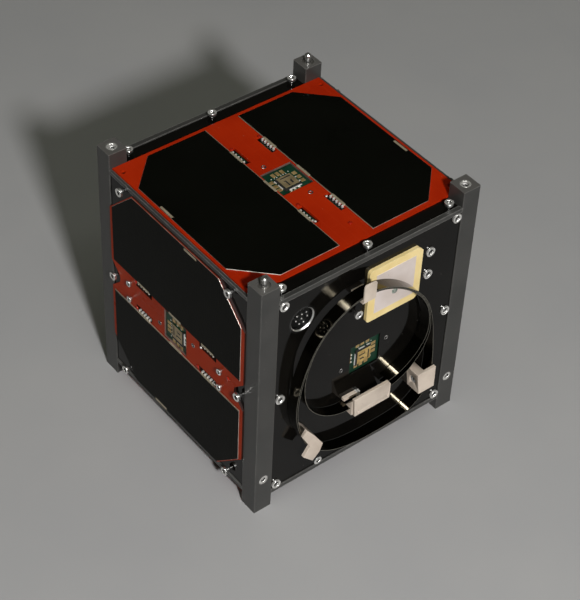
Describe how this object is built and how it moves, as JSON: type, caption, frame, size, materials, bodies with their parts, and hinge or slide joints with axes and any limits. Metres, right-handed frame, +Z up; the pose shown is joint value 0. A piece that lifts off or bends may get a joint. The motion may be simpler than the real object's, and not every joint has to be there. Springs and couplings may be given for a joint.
{
  "type": "cube satellite",
  "caption": "Small cube satellite: rail frame, solar panels on the faces, and a front face with coiled tape antennas, a patch antenna and a round service connector.",
  "frame": {"origin": "on the ground, midway between the four rail feet", "axes": "+Z up along the rails, -Y towards the antenna face, -X towards the solar face beside it"},
  "size_m": [0.1016, 0.1076, 0.117],
  "materials": {
    "frame_metal": "hard anodised, satin",
    "black_plate": "gloss black solder mask",
    "board_red": "solder mask",
    "solar_cell": "cover glass over a dark blue cell",
    "sensor_board": "solder mask with gold pads",
    "ceramic": "fired ceramic",
    "patch_metal": "silver plating",
    "connector_metal": "plated",
    "connector_plastic": "moulded",
    "contact_gold": "gold plated",
    "spring_tape": "spring steel",
    "holder_plastic": "moulded",
    "pin_steel": "polished",
    "dark_steel": "blackened",
    "stack": "boards and batteries"
  },
  "bodies": {
    "structure": {"antenna_holder_feed": "holder_plastic", "antenna_holder_left": "holder_plastic", "antenna_holder_right": "holder_plastic", "antenna_holder_top": "holder_plastic", "antenna_tape_inner": "spring_tape", "antenna_tape_middle": "spring_tape", "antenna_tape_outer": "spring_tape", "back_plate": "black_plate", "bottom_plate": "black_plate", "connector_insert": "connector_plastic", "connector_pins": "contact_gold", "connector_shell": "connector_metal", "crossbars_bottom": "frame_metal", "crossbars_top": "frame_metal", "front_plate": "black_plate", "inner_stack": "stack", "left_plate": "black_plate", "patch_ceramic": "ceramic", "patch_metal": "patch_metal", "plunger_sleeves": "dark_steel", "rail_back": "frame_metal", "rail_front": "frame_metal", "rail_left": "frame_metal", "rail_right": "frame_metal", "right_plate": "black_plate", "set_screws": "pin_steel", "solar_board_back": "board_red", "solar_board_bottom": "board_red", "solar_board_left": "board_red", "solar_board_right": "board_red", "solar_board_top": "board_red", "solar_cells_back": "solar_cell", "solar_cells_bottom": "solar_cell", "solar_cells_left": "solar_cell", "solar_cells_right": "solar_cell", "solar_cells_top": "solar_cell", "sun_sensor_back": "sensor_board", "sun_sensor_bottom": "sensor_board", "sun_sensor_front": "sensor_board", "sun_sensor_left": "sensor_board", "sun_sensor_right": "sensor_board", "sun_sensor_top": "sensor_board", "top_plate": "black_plate"},
    "plunger_front_pin": {"plunger_front": "pin_steel"},
    "plunger_back_pin": {"plunger_back": "pin_steel"}
  },
  "joints": [
    {"name": "plunger_front_press", "type": "slide", "parent": "structure", "child": "plunger_front_pin", "axis": [0, 0, 1], "range_m": [-0.0033, 0], "stiffness_N_per_m": 1100, "springref_m": 0.0006},
    {"name": "plunger_back_press", "type": "slide", "parent": "structure", "child": "plunger_back_pin", "axis": [0, 0, 1], "range_m": [-0.0033, 0], "stiffness_N_per_m": 1100, "springref_m": 0.0006}
  ]
}
